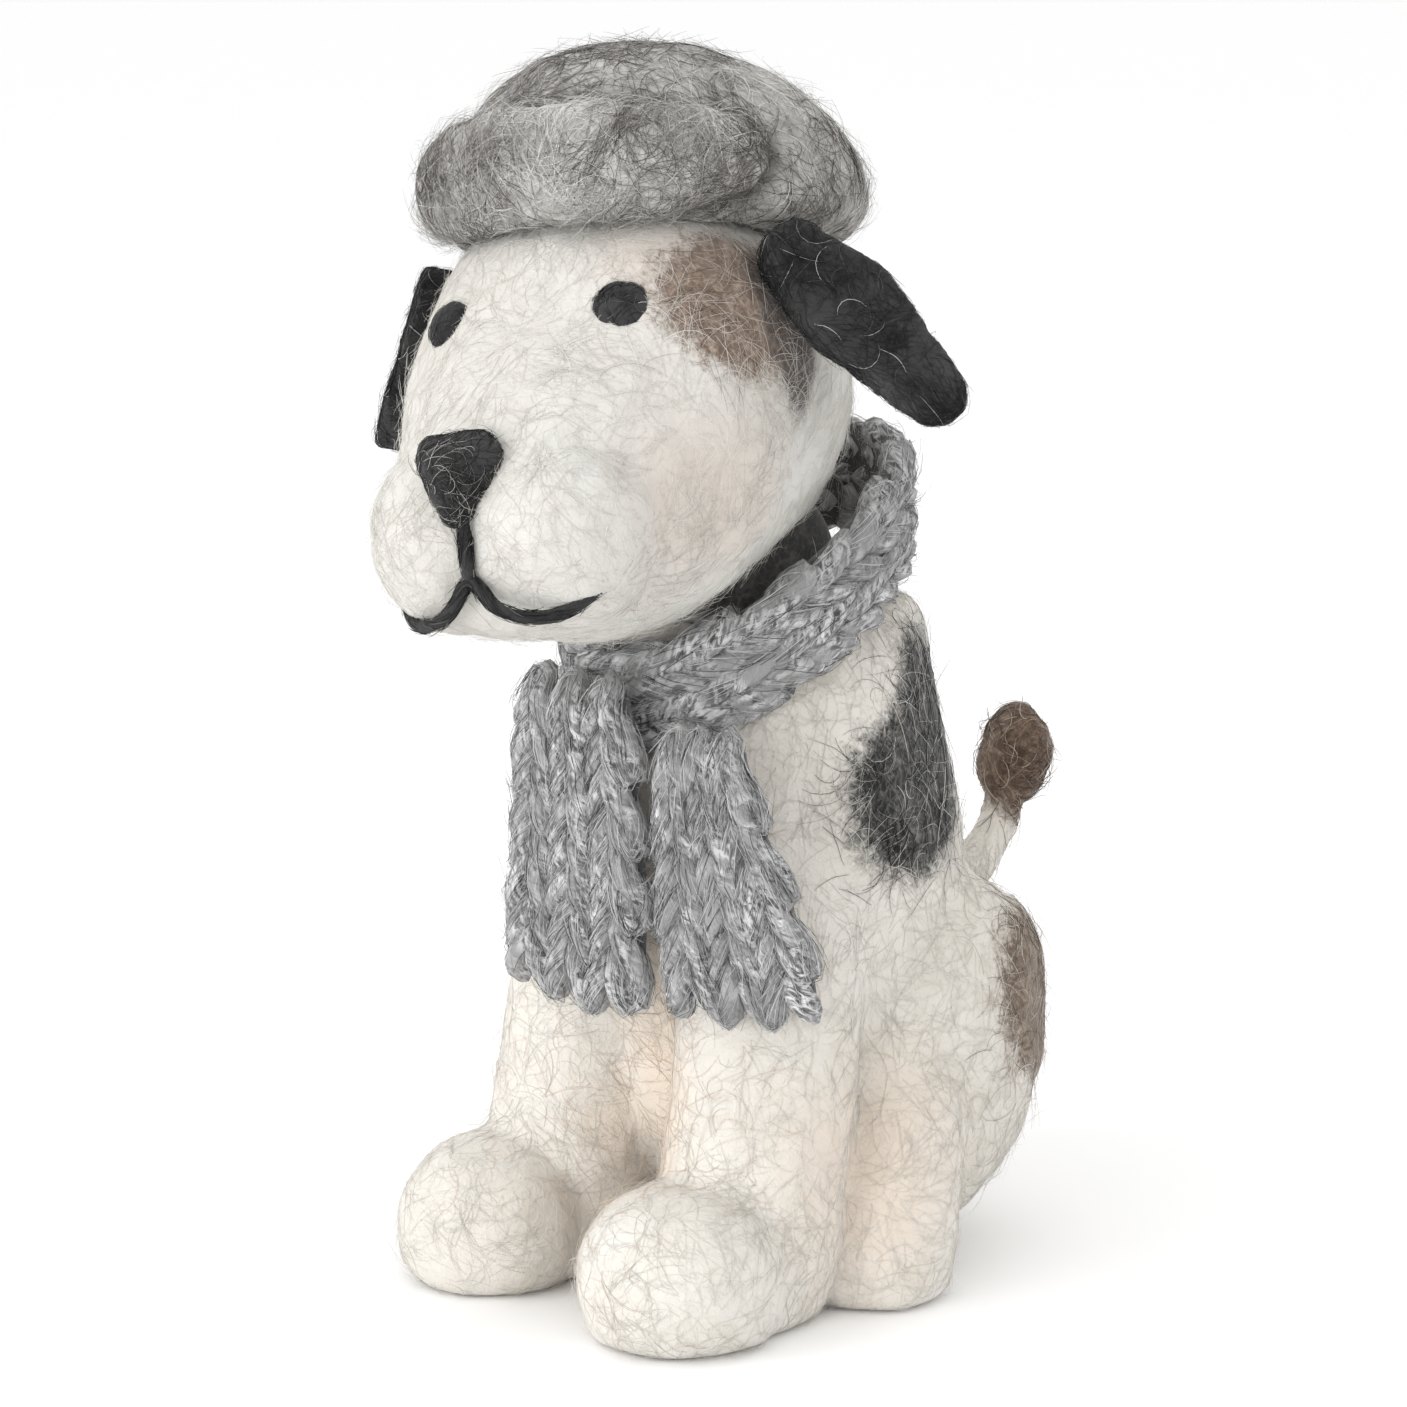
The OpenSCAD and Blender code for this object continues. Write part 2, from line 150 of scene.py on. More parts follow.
class Tree:
    def __init__(self, name):
        self.m = bpy.data.materials.new(name)
        self.m.use_nodes = True
        self.t = self.m.node_tree
        self.b = self.t.nodes["Principled BSDF"]
        self.co = self.t.nodes.new("ShaderNodeTexCoord").outputs["Object"]

    def node(self, kind, **kw):
        n = self.t.nodes.new(kind)
        for k, v in kw.items():
            setattr(n, k, v)
        return n

    def link(self, a, b):
        self.t.links.new(a, b)

    def put(self, sock, v):
        if isinstance(v, bpy.types.NodeSocket):
            self.link(v, sock)
        else:
            sock.default_value = v

    def math(self, op, a, b=0.0, clamp=False):
        n = self.node("ShaderNodeMath", operation=op, use_clamp=clamp)
        self.put(n.inputs[0], a)
        self.put(n.inputs[1], b)
        return n.outputs[0]

    def noise(self, scale, detail=2.0, rough=0.5, distort=0.0, offset=(0, 0, 0), vec=None):
        n = self.node("ShaderNodeTexNoise")
        n.inputs["Scale"].default_value = scale
        n.inputs["Detail"].default_value = detail
        n.inputs["Roughness"].default_value = rough
        n.inputs["Distortion"].default_value = distort
        v = self.node("ShaderNodeVectorMath", operation="ADD")
        self.link(vec if vec is not None else self.co, v.inputs[0])
        v.inputs[1].default_value = offset
        self.link(v.outputs[0], n.inputs["Vector"])
        return n.outputs["Fac"]

    def ridge(self, scale, offset, width=0.06, distort=0.6):
        """Thin winding lines, like single fibres lying on felt."""
        n = self.noise(scale, 1.5, 0.5, distort, offset)
        d = self.math("ABSOLUTE", self.math("SUBTRACT", n, 0.5))
        return self.math("SUBTRACT", 1.0, self.math("DIVIDE", d, width), clamp=True)

    def mix(self, fac, a, b):
        n = self.node("ShaderNodeMix", data_type="RGBA")
        self.put(n.inputs["Factor"], fac)
        self.put(n.inputs[6], a)
        self.put(n.inputs[7], b)
        return n.outputs[2]

    def ramp(self, fac, lo, hi):
        n = self.node("ShaderNodeMapRange", interpolation_type="SMOOTHSTEP")
        self.put(n.inputs["Value"], fac)
        n.inputs["From Min"].default_value = lo
        n.inputs["From Max"].default_value = hi
        return n.outputs[0]

    def blob(self, centre, radii, rot=(0, 0, 0)):
        """1 inside an ellipsoid, falling to 0 outside; the distance is in radii."""
        v = self.node("ShaderNodeVectorMath", operation="SUBTRACT")
        self.link(self.co, v.inputs[0])
        v.inputs[1].default_value = tuple(centre)
        r = self.node("ShaderNodeVectorRotate", rotation_type="EULER_XYZ")
        self.link(v.outputs[0], r.inputs["Vector"])
        r.inputs["Rotation"].default_value = rot
        d = self.node("ShaderNodeVectorMath", operation="DIVIDE")
        self.link(r.outputs[0], d.inputs[0])
        d.inputs[1].default_value = tuple(radii)
        l = self.node("ShaderNodeVectorMath", operation="LENGTH")
        self.link(d.outputs[0], l.inputs[0])
        return l.outputs["Value"]

    def bump(self, height, strength, distance):
        n = self.node("ShaderNodeBump")
        n.inputs["Strength"].default_value = strength
        n.inputs["Distance"].default_value = distance
        self.link(height, n.inputs["Height"])
        self.link(n.outputs[0], self.b.inputs["Normal"])


def felt(name, dark, mid, light, patches=(), scale=1.0, bump=0.5, sheen=0.25, web=0.5, warm_shade=None, fold_shade=None):
    """Needle felt: three tones of fibre web, with patches given as (distance, softness, dark, light)."""
    t = Tree(name)
    r1 = t.ridge(260 * scale, (0.0, 0.0, 0.0), 0.035)
    r2 = t.ridge(420 * scale, (0.31, 0.17, 0.05), 0.05)
    r3 = t.ridge(700 * scale, (0.11, 0.47, 0.29), 0.07)
    low = t.noise(60, 3, 0.55, 0.3)
    fine = t.noise(2400 * scale, 2, 0.6)
    web_sum = t.math("ADD", t.math("MULTIPLY", r1, 0.5), t.math("ADD", t.math("MULTIPLY", r2, 0.4), t.math("MULTIPLY", r3, 0.35)))
    base = t.mix(t.ramp(low, 0.3, 0.7), mid, light)
    base = t.mix(t.math("MULTIPLY", t.ramp(t.noise(330 * scale, 3, 0.6, 0.5, (0.7, 0.2, 0.1)), 0.45, 0.75), web), base, dark)
    col = t.mix(t.math("MULTIPLY", web_sum, web, clamp=True), base, light)
    # painted shade: warm darker tint in blobs where shade falls between parts
    if warm_shade:
        for centre, radii, colour, amount in warm_shade:
            d = t.blob(centre, radii)
            d = t.math("ADD", d, t.math("MULTIPLY", t.math("SUBTRACT", low, 0.5), 0.8))
            col = t.mix(t.math("MULTIPLY", t.math("SUBTRACT", 1.0, t.ramp(d, 0.35, 1.15)), amount), col, colour)
    edge = t.noise(300, 4, 0.7, 1.2, (0.2, 0.6, 0.4))
    edge2 = t.noise(1100, 2, 0.6, 1.5, (0.5, 0.1, 0.3))
    for centre, radii, rot, soft, c_dark, c_light in patches:
        d = t.blob(centre, radii, rot)
        d = t.math("ADD", d, t.math("MULTIPLY", t.math("SUBTRACT", edge, 0.5), soft))
        d = t.math("ADD", d, t.math("MULTIPLY", t.math("SUBTRACT", edge2, 0.5), soft * 0.8))
        inside = t.math("SUBTRACT", 1.0, t.ramp(d, 0.72, 1.1))
        tone = t.mix(t.math("MULTIPLY", web_sum, 0.8, clamp=True), c_dark, c_light)
        col = t.mix(inside, col, tone)
    # painted shade: darker colour where the fold value on the points is high
    if fold_shade:
        at = t.node("ShaderNodeAttribute")
        at.attribute_name = "fold_shade"
        col = t.mix(t.math("MULTIPLY", at.outputs["Fac"], 1.0, clamp=True), col, fold_shade)
    t.link(col, t.b.inputs["Base Color"])
    t.b.inputs["Roughness"].default_value = 0.95
    t.b.inputs["Specular IOR Level"].default_value = 0.15
    t.b.inputs["Sheen Weight"].default_value = sheen
    t.b.inputs["Sheen Roughness"].default_value = 0.6
    h = t.math("ADD", t.math("MULTIPLY", web_sum, 0.6), t.math("MULTIPLY", fine, 0.5))
    t.bump(h, bump, 0.00035)
    return t.m


# ------------------------------------------------------------------ meshes from the frame's solids
def new_mesh(name, verts, faces):
    me = bpy.data.meshes.new(name)
    me.from_pydata([tuple(v) for v in verts], [], [tuple(int(i) for i in f) for f in faces])
    me.update()
    o = bpy.data.objects.new(name, me)
    scene.collection.objects.link(o)
    return o


def fast_mesh(name, verts, loops, sizes, mat_index=None, smooth=True):
    """A mesh from arrays: verts (n,3), loops flat, sizes per face."""
    me = bpy.data.meshes.new(name)
    me.vertices.add(len(verts))
    me.vertices.foreach_set("co", np.ascontiguousarray(verts, np.float32).ravel())
    me.loops.add(len(loops))
    me.loops.foreach_set("vertex_index", np.ascontiguousarray(loops, np.int32))
    starts = np.zeros(len(sizes), np.int32)
    starts[1:] = np.cumsum(sizes)[:-1]
    me.polygons.add(len(sizes))
    me.polygons.foreach_set("loop_start", starts)
    me.polygons.foreach_set("loop_total", np.ascontiguousarray(sizes, np.int32))
    if mat_index is not None:
        me.polygons.foreach_set("material_index", np.ascontiguousarray(mat_index, np.int32))
    me.update(calc_edges=True)
    me.validate()
    if smooth:
        me.shade_smooth()
    o = bpy.data.objects.new(name, me)
    scene.collection.objects.link(o)
    return o


def cad_arrays(names):
    V, F, off = [], [], 0
    for n in names:
        me = NODES[n].data
        co = np.zeros(len(me.vertices) * 3, np.float32)
        me.vertices.foreach_get("co", co)
        me.calc_loop_triangles()
        tri = np.zeros(len(me.loop_triangles) * 3, np.int32)
        me.loop_triangles.foreach_get("vertices", tri)
        V.append(co.reshape(-1, 3))
        F.append(tri.reshape(-1, 3) + off)
        off += len(V[-1])
    return np.concatenate(V), np.concatenate(F)


def skin(name, names, voxel, smooth=8, extra=None, grow=0.0):
    """One felted surface round several of the frame's solids."""
    V, F = cad_arrays(names)
    if extra is not None:
        for ev, ef in extra:
            F = np.concatenate([F, ef + len(V)])
            V = np.concatenate([V, ev])
    o = new_mesh(name, V, F)
    # weld the glTF's split vertices before the remesh
    w = o.modifiers.new("weld", "WELD")
    w.merge_threshold = 0.00001
    r = o.modifiers.new("remesh", "REMESH")
    r.mode = "VOXEL"
    r.voxel_size = voxel
    r.use_smooth_shade = True
    sm = o.modifiers.new("smooth", "SMOOTH")
    sm.factor = 0.5
    sm.iterations = smooth
    dg = bpy.context.evaluated_depsgraph_get()
    me = bpy.data.meshes.new_from_object(o.evaluated_get(dg))
    old = o.data
    o.modifiers.clear()
    o.data = me
    bpy.data.meshes.remove(old)
    me.name = name
    me.shade_smooth()
    return o


def co_of(o):
    co = np.zeros(len(o.data.vertices) * 3, np.float32)
    o.data.vertices.foreach_get("co", co)
    return co.reshape(-1, 3).astype(float)


def normals_of(o):
    n = np.zeros(len(o.data.vertices) * 3, np.float32)
    o.data.vertices.foreach_get("normal", n)
    return n.reshape(-1, 3).astype(float)


def set_co(o, co):
    o.data.vertices.foreach_set("co", np.ascontiguousarray(co, np.float32).ravel())
    o.data.update()


def lumps(o, amps, seed, floor_z=None, grow=0.0):
    """Hand-felted unevenness: amps is a list of (feature size, height) in metres."""
    co, nm = co_of(o), normals_of(o)
    off = Vector((seed * 1.7, seed * 0.9, seed * 2.3))
    h = np.full(len(co), grow)
    for size, amp in amps:
        h += np.array([noise.noise(Vector(p) / size + off) for p in co]) * amp
    co = co + nm * h[:, None]
    if floor_z is not None:
        co[:, 2] = np.maximum(co[:, 2], floor_z)
    set_co(o, co)
    return o


# ------------------------------------------------------------------ felt skins
CREAM_D, CREAM_M, CREAM_L = srgb(207, 200, 190), srgb(215, 210, 201), srgb(224, 220, 213)
BLACK_D, BLACK_L = srgb(16, 16, 17), srgb(60, 60, 60)
BROWN_D, BROWN_L = srgb(82, 66, 54), srgb(150, 132, 116)
WIRE = Tree("wire")
WIRE.b.inputs["Metallic"].default_value = 1.0
WIRE.b.inputs["Roughness"].default_value = 0.35
WIRE.link(WIRE.mix(WIRE.noise(900, 3), srgb(150, 150, 152), srgb(196, 196, 198)), WIRE.b.inputs["Base Color"])
for n in ("spine_wire", "leg_wire_left", "leg_wire_right", "tail_wire"):
    NODES[n].data.materials.clear()
    NODES[n].data.materials.append(WIRE.m)

back_c, back_r, back_rot = row([24.5, 17.5, 58.5]), (0.0135, 0.0142, 0.0120), (0, 0, 0)
back2_c, back2_r = row([20.5, 23.5, 67]), (0.0135, 0.0092, 0.0125)
hip_c, hip_r = row([25.5, 38.2, 32]), (0.0140, 0.0122, 0.0128)
# the centre of the painted shade between the front legs
between = row([3, -13, 22])
# painted shade: the warm blobs below are a warm darker tint between the front legs and low beside the haunches
BODY_FELT = felt("felt_body", CREAM_D, CREAM_M, CREAM_L, bump=0.35,
                 patches=[(back_c, back_r, back_rot, 0.5, BLACK_D, srgb(118, 116, 112)),
                          (back2_c, back2_r, (0, 0, 0), 0.5, BLACK_D, srgb(118, 116, 112)),
                          (hip_c, hip_r, (0, 0, 0), 0.6, srgb(104, 88, 74), srgb(168, 154, 138))],
                 warm_shade=[(between, (0.010, 0.014, 0.024), srgb(232, 208, 184), 0.5),
                       (row([24, 4, 14]), (0.012, 0.018, 0.018), srgb(222, 200, 178), 0.4),
                       (row([-24, 4, 14]), (0.012, 0.018, 0.018), srgb(222, 200, 178), 0.4)])
brow_c = face([19.5, -22.5, 31.0])
# painted shade: the warm blobs below are a warm darker tint under the near cheek and higher on the near side of the
# face
HEAD_FELT = felt("felt_head", srgb(198, 194, 187), srgb(202, 199, 192), srgb(210, 208, 203), bump=0.35,
                 patches=[(brow_c, (0.0100, 0.0108, 0.0096), (0, 0, 0), 0.7, srgb(112, 95, 82), srgb(182, 165, 150)),
                          (face([21.5, -16.5, 27.5]), (0.0070, 0.0052, 0.0110), (0, 0, 0), 0.5, srgb(66, 58, 52), srgb(120, 108, 98))],
                 warm_shade=[(face([16, -30, 12]), (0.012, 0.016, 0.013), srgb(206, 190, 178), 0.5),
                       (face([12, -27, 35]), (0.010, 0.008, 0.008), srgb(214, 196, 184), 0.45)])
BLACK_FELT = felt("felt_black", srgb(14, 14, 15), srgb(34, 34, 34), srgb(62, 62, 62), scale=1.2, bump=0.6, sheen=0.1, web=0.5)
NOSE_FELT = felt("felt_nose", srgb(14, 14, 14), srgb(30, 30, 30), srgb(72, 72, 72), scale=1.5, bump=0.6, sheen=0.1, web=0.6)
# the darkest grey given last is painted shade for the fold between crown and peak
CAP_FELT = felt("felt_cap", srgb(88, 84, 80), srgb(146, 143, 139), srgb(196, 194, 190), bump=0.7, web=0.8, fold_shade=srgb(66, 62, 58))
TAIL_FELT = felt("felt_tail", CREAM_D, CREAM_M, CREAM_L,
                 patches=[(row([0, 60.2, 52.6]), (0.0066, 0.0066, 0.0104), (0, 0, 0), 0.35, srgb(84, 66, 52), srgb(150, 130, 112))])


def felt_piece(name, names, voxel, mat, body, amps, seed, smooth=6, floor_z=None, grow=0.0):
    o = skin(name, names, voxel, smooth)
    lumps(o, amps, seed, floor_z, grow)
    o.data.materials.clear()
    o.data.materials.append(mat)
    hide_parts(*names)
    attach(o, body)
    return o


FLOOR = 0.00015
body = felt_piece("body_felt", ["torso", "front_leg_left", "front_leg_right", "front_paw_left", "front_paw_right",
                                "thigh_left", "thigh_right", "hind_paw_left", "hind_paw_right", "back_patch", "hip_patch"],
                  0.0009, BODY_FELT, "body", [(0.012, 0.0007), (0.004, 0.0003)], 1, 5, FLOOR)
# cream neck felt; its dark grey patch is painted shadow on the front upper side, between the jaw and the scarf
NECK_FELT_WITH_SHADOW = felt("felt_neck_with_shadow", srgb(198, 194, 187), srgb(202, 199, 192), srgb(210, 208, 203), bump=0.35,
                 patches=[(row([10, 5, 86]), (0.0130, 0.0130, 0.0130), (0, 0, 0), 0.3, srgb(66, 66, 65), srgb(112, 110, 107))])
neck = felt_piece("neck_felt", ["neck_ball"], 0.0009, NECK_FELT_WITH_SHADOW, "neck", [(0.004, 0.00015)], 2, 2, None, -0.0002)
head = felt_piece("head_felt", ["head", "muzzle_pad_left", "muzzle_pad_right", "brow_patch"], 0.0008, HEAD_FELT,
                  "head", [(0.010, 0.0006), (0.0035, 0.0003)], 3, 5)
nose = felt_piece("nose_felt", ["nose"], 0.0003, NOSE_FELT, "head", [(0.003, 0.0003), (0.0012, 0.00012)], 4, 4)
eyes = [felt_piece("eye_felt_" + s, ["eye_" + s], 0.0003, BLACK_FELT, "head",
                   [(0.002, 0.0002), (0.0009, 0.0001)], 5 + k, 3) for k, s in enumerate(("left", "right"))]
ears = [felt_piece("ear_felt_" + s, ["ear_" + s], 0.0005, BLACK_FELT, "ear_" + s,
                   [(0.007, 0.0005), (0.0022, 0.0002)], 8 + k, 10) for k, s in enumerate(("left", "right"))]
cap = felt_piece("cap_felt", ["cap_crown", "cap_band"], 0.0008, CAP_FELT, "cap",
                 [(0.010, 0.0005), (0.003, 0.0003)], 11, 4, None, -0.0004)
peak = felt_piece("peak_felt", ["cap_peak"], 0.0007, CAP_FELT, "cap",
                  [(0.007, 0.0007), (0.0022, 0.0003)], 12, 5)


def fold_shade(o, others, reach, strength, floor_=0.0):
    """Painted shade in the fold where this felt meets another piece, kept as a value on its points."""
    trees = [surface_tree(q) for q in others]
    co = co_of(o)
    val = np.zeros(len(co))
    for tr in trees:
        d = np.array([tr.find_nearest(Vector(p))[3] for p in co])
        val = np.maximum(val, np.exp(-(d / reach) ** 2) * strength)
    a = o.data.attributes.new("fold_shade", "FLOAT", "POINT")
    a.data.foreach_set("value", np.ascontiguousarray(val, np.float32))


def surface_tree(o):
    me = o.data
    me.calc_loop_triangles()
    tri = np.zeros(len(me.loop_triangles) * 3, np.int32)
    me.loop_triangles.foreach_get("vertices", tri)
    return BVHTree.FromPolygons([tuple(v) for v in co_of(o)], [tuple(int(i) for i in t) for t in tri.reshape(-1, 3)])


# painted shade in the fold between crown and peak, on both pieces
fold_shade(cap, [peak], 0.0024, 0.85)
fold_shade(peak, [cap], 0.0009, 0.5)
tail = felt_piece("tail_felt", ["tail_stem", "tail_tip"], 0.0004, TAIL_FELT, "tail",
                  [(0.004, 0.0005), (0.0015, 0.0002)], 13, 3)


# ------------------------------------------------------------------ loose fibres
def unit(v):
    return v / np.maximum(np.linalg.norm(v, axis=-1, keepdims=True), 1e-12)


def tubes(name, P, S, R, mats, which, sides=3):
    """Closed tapered fibres: P (n,k,3) points, S (n,k,3) side vectors, R (n,k) radii."""
    n, k, _ = P.shape
    T = np.empty_like(P)
    T[:, 1:-1] = P[:, 2:] - P[:, :-2]
    T[:, 0] = P[:, 1] - P[:, 0]
    T[:, -1] = P[:, -1] - P[:, -2]
    T = unit(T)
    A = unit(np.cross(T, S))
    B = np.cross(T, A)
    ang = np.arange(sides) * 2 * math.pi / sides
    ring = A[:, :, None] * np.cos(ang)[None, None, :, None] + B[:, :, None] * np.sin(ang)[None, None, :, None]
    V = (P[:, :, None] + ring * R[:, :, None, None]).reshape(-1, 3)
    base = (np.arange(n) * k * sides)[:, None, None]
    j = np.arange(k - 1)[None, :, None] * sides
    i = np.arange(sides)[None, None, :]
    i2 = (i + 1) % sides
    q = np.stack([base + j + i, base + j + i2, base + j + sides + i2, base + j + sides + i], -1).reshape(n, -1)
    c0 = (base[:, 0] + np.arange(sides)[::-1][None])
    c1 = (base[:, 0] + (k - 1) * sides + np.arange(sides)[None])
    loops = np.concatenate([q, c0, c1], 1).ravel()
    per = [4] * ((k - 1) * sides) + [sides, sides]
    sizes = np.tile(per, n)
    mi = np.repeat(which, len(per))
    o = fast_mesh(name, V, loops, sizes, mi)
    for m in mats:
        o.data.materials.append(m)
    return o


def surface(o):
    me = o.data
    me.calc_loop_triangles()
    tri = np.zeros(len(me.loop_triangles) * 3, np.int32)
    me.loop_triangles.foreach_get("vertices", tri)
    tri = tri.reshape(-1, 3)
    co = co_of(o)
    a, b, c = co[tri[:, 0]], co[tri[:, 1]], co[tri[:, 2]]
    cross = np.cross(b - a, c - a)
    ar = np.linalg.norm(cross, axis=1) / 2
    bvh = BVHTree.FromPolygons([tuple(v) for v in co], [tuple(int(i) for i in t) for t in tri])
    return {"tri": tri, "co": co, "area": ar, "cross": cross, "bvh": bvh}


def sample(su, n, rng, weight=None):
    w = su["area"].copy()
    mid = su["co"][su["tri"]].mean(1)
    if weight is not None:
        w *= weight(mid, unit(su["cross"]))
    f = rng.choice(len(w), n, p=w / w.sum())
    u, v = rng.random(n), rng.random(n)
    s = np.sqrt(u)
    A = su["co"][su["tri"][f]]
    p = A[:, 0] * (1 - s)[:, None] + A[:, 1] * (s * (1 - v))[:, None] + A[:, 2] * (s * v)[:, None]
    return p, unit(su["cross"][f])


def fuzz(name, su, n, length, radius, lift, mats, pick, body_name, seed, curl=0.5, seg=6, weight=None,
         lay=(0.00002, 0.0001), flow=0.7, floor_z=None):
    """Fibres that lie on a felt surface in swirls; lift is (share that stands off, how far its tip goes)."""
    rng = np.random.default_rng(seed)
    p, nm = sample(su, n, rng, weight)
    L = rng.uniform(length[0], length[1], n)
    step = L / seg
    d = rng.normal(size=(n, 3))
    # neighbours share a rough direction, as they do where a needle has swirled the wool
    fl = np.array([noise.noise_vector(Vector(q) / 0.009 + Vector((seed, 0, 0))) for q in p])
    d = unit(d) * (1 - flow) + unit(fl) * flow
    d = unit(d - nm * (d * nm).sum(1)[:, None])
    turn = rng.normal(0, curl, n)
    stands = rng.random(n) < lift[0]
    h0 = rng.uniform(lay[0], lay[1], n)
    tip = np.where(stands, rng.uniform(0.3, 1.0, n) ** 1.5 * lift[1], rng.uniform(0, 0.00012, n))
    P = np.empty((n, seg + 1, 3))
    N = np.empty((n, seg + 1, 3))
    find = su["bvh"].find_nearest
    for i in range(seg + 1):
        t = i / seg
        N[:, i] = nm
        arch = np.where(stands, t ** 1.3, math.sin(math.pi * t))
        P[:, i] = p + nm * (h0 + tip * arch)[:, None]
        if i == seg:
            break
        side = np.cross(nm, d)
        turn = turn + rng.normal(0, curl * 0.6, n)
        d = unit(d * np.cos(turn / seg * 2)[:, None] + side * np.sin(turn / seg * 2)[:, None])
        q = p + d * step[:, None]
        nq, nn = np.empty_like(q), np.empty_like(q)
        for k in range(n):
            loc, no, _, _ = find(q[k])
            nq[k] = loc
            nn[k] = no
        p, nm = nq, unit(nn)
        d = unit(d - nm * (d * nm).sum(1)[:, None])
    prof = np.sin(np.linspace(0.14, 0.93, seg + 1) * math.pi) ** 0.5
    R = rng.uniform(radius[0], radius[1], n)[:, None] * prof[None]
    if floor_z is not None:
        P[..., 2] = np.maximum(P[..., 2], floor_z + 0.0001)
    o = tubes(name, P, N, R, mats, pick(P[:, 0], rng))
    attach(o, body_name)
    return o


W1, W2, W3, W4 = (plain("fibre_white", srgb(226, 224, 220)), plain("fibre_cream", srgb(219, 214, 205)),
                  plain("fibre_tan", srgb(209, 201, 189)), plain("fibre_peach_shade", srgb(225, 207, 189)))
B1, B2, B3 = (plain("fibre_black", srgb(20, 20, 21), 0.9, 0.05), plain("fibre_soot", srgb(48, 48, 48), 0.9, 0.05),
              plain("fibre_ash", srgb(96, 95, 93)))
N1, N2, N3 = (plain("fibre_brown_dark", srgb(78, 62, 50)), plain("fibre_brown", srgb(122, 102, 86)),
              plain("fibre_brown_light", srgb(168, 150, 134)))
G1, G2, G3, G4 = (plain("fibre_grey_dark", srgb(72, 67, 63)), plain("fibre_grey", srgb(126, 121, 116)),
                  plain("fibre_grey_light", srgb(184, 182, 178)), plain("fibre_grey_white", srgb(232, 231, 228)))
ALL = [W1, W2, W3, W4, B1, B2, B3, N1, N2, N3, G1, G2, G3, G4]


def choose(rng, n, ids, w):
    return rng.choice(ids, n, p=np.array(w, float) / sum(w))


def inside(p, centre, radii, rot_x=0.0, soft=0.25, rng=None):
    q = (p - centre) @ rx(rot_x)
    d = np.linalg.norm(q / np.array(radii), axis=1)
    return d + (rng.normal(0, soft, len(p)) if rng is not None else 0) < 1.0


def pick_body(p, rng):
    n = len(p)
    r = choose(rng, n, [0, 1, 2], [5, 4, 0.7])
    # painted shade: some peach fibres between the front legs
    warm_shade = inside(p, between, (0.014, 0.016, 0.030), 0, 0.3, rng)
    r = np.where(warm_shade & (rng.random(n) < 0.35), 3, r)
    m = inside(p, hip_c, hip_r, 0, 0.18, rng)
    r = np.where(m, choose(rng, n, [7, 8, 9, 0, 2], [2, 4, 4, 1, 2]), r)
    m = inside(p, back_c, back_r, 0, 0.10, rng) | inside(p, back2_c, back2_r, 0, 0.10, rng)
    return np.where(m, choose(rng, n, [4, 5, 6, 0, 12], [4.5, 2, 1.0, 1.9, 1.2]), r)


def pick_head(p, rng):
    n = len(p)
    r = choose(rng, n, [0, 1, 2], [6, 3, 0.4])
    m = inside(p, brow_c, (0.0100, 0.0094, 0.0088), 0, 0.2, rng)
    return np.where(m, choose(rng, n, [7, 8, 9, 0, 2], [2, 3, 4, 1.6, 2.4]), r)


def pick_of(ids, w):
    return lambda p, rng: choose(rng, len(p), ids, w)


def pick_tail(p, rng):
    n = len(p)
    m = inside(p, row([0, 60.2, 52.6]), (0.0068, 0.0068, 0.0106), 0, 0.12, rng)
    return np.where(m, choose(rng, n, [7, 8, 9, 2], [4, 4, 2, 1]), choose(rng, n, [0, 1, 2], [4, 4, 1]))


DENSE = 1.0


def k_of(n):
    return int(n * DENSE)


S_body, S_head, S_cap, S_peak = surface(body), surface(head), surface(cap), surface(peak)
for j, (n, rad, lift) in enumerate(((4800, (0.000022, 0.00004), (0.05, 0.0012)), (4800, (0.000020, 0.000036), (0.05, 0.0024)),
                                    (4800, (0.000014, 0.000024), (0.85, 0.0016)))):
    fuzz("body_fibres_%d" % (j + 1), S_body, k_of(n), (0.003, 0.008), rad, lift, ALL, pick_body,
         "body", 20 + j, floor_z=FLOOR)
for j, (n, rad, lift) in enumerate(((4600, (0.000018, 0.000034), (0.05, 0.0010)), (4400, (0.000013, 0.000022), (0.85, 0.0013)))):
    fuzz("head_fibres_%d" % (j + 1), S_head, k_of(n), (0.003, 0.008), rad, lift, ALL, pick_head,
         "head", 30 + j)
PEAK_TREE = surface_tree(peak)


def grey_pick(p, rng):
    """Blended grey wool: darker and lighter locks lie beside each other, with painted shade in the fold by the peak.
    """
    lock = np.array([noise.noise(Vector(q) / 0.007 + Vector((5, 1, 2))) for q in p]) + rng.normal(0, 0.25, len(p))
    pickd = np.select([lock < -0.30, lock < -0.02, lock < 0.34], [10, 11, 12], 13)
    # painted shade: fibres in the fold between crown and peak take the darkest grey
    near = np.array([PEAK_TREE.find_nearest(Vector(q))[3] for q in p])
    return np.where((near < 0.0022) & (near > 0.0003) & (rng.random(len(p)) < 0.75), 10, pickd)


